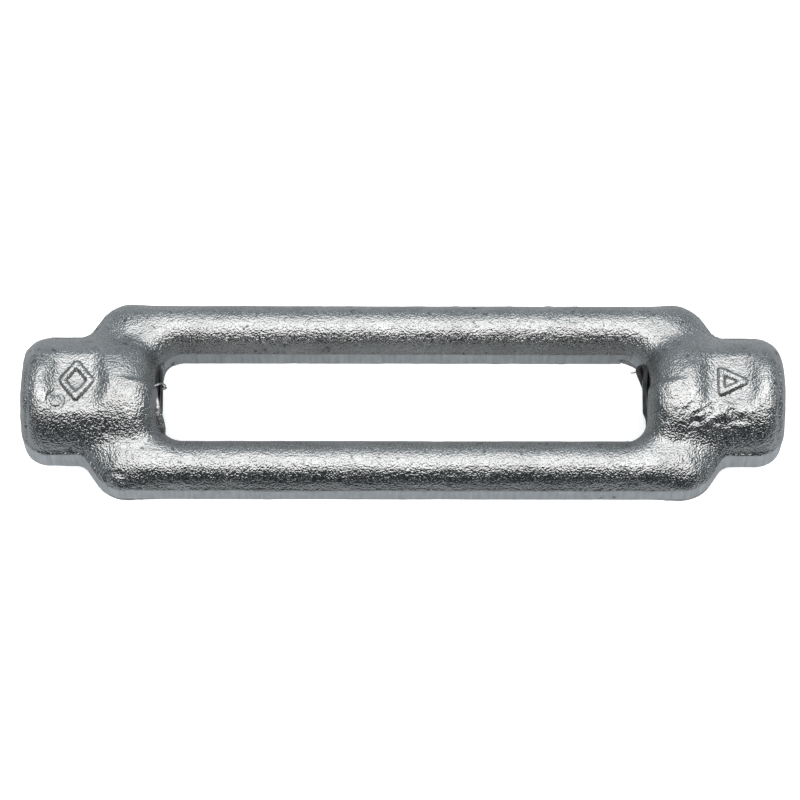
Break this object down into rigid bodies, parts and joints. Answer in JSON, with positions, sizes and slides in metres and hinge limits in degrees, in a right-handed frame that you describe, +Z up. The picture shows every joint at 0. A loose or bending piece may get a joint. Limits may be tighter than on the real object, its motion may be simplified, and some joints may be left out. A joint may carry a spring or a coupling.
{
  "type": "open turnbuckle body",
  "caption": "Open turnbuckle body: parallel side bars join threaded end bosses, right-hand at one end and left-hand at the other, so turning it draws rods together or apart.",
  "frame": {"origin": "middle of the body, on the common axis of the two bores", "axes": "+X along the bores, from the right-hand boss to the left-hand one; +Y across the two side bars; +Z up through the window"},
  "size_m": [0.125, 0.033, 0.0208],
  "materials": {
    "galvanised_steel": "hot-dip galvanised zinc over a forged skin: bright grey, finely grained, semi-matt"
  },
  "bodies": {
    "root": {"turnbuckle_body": "galvanised_steel"}
  },
  "joints": []
}
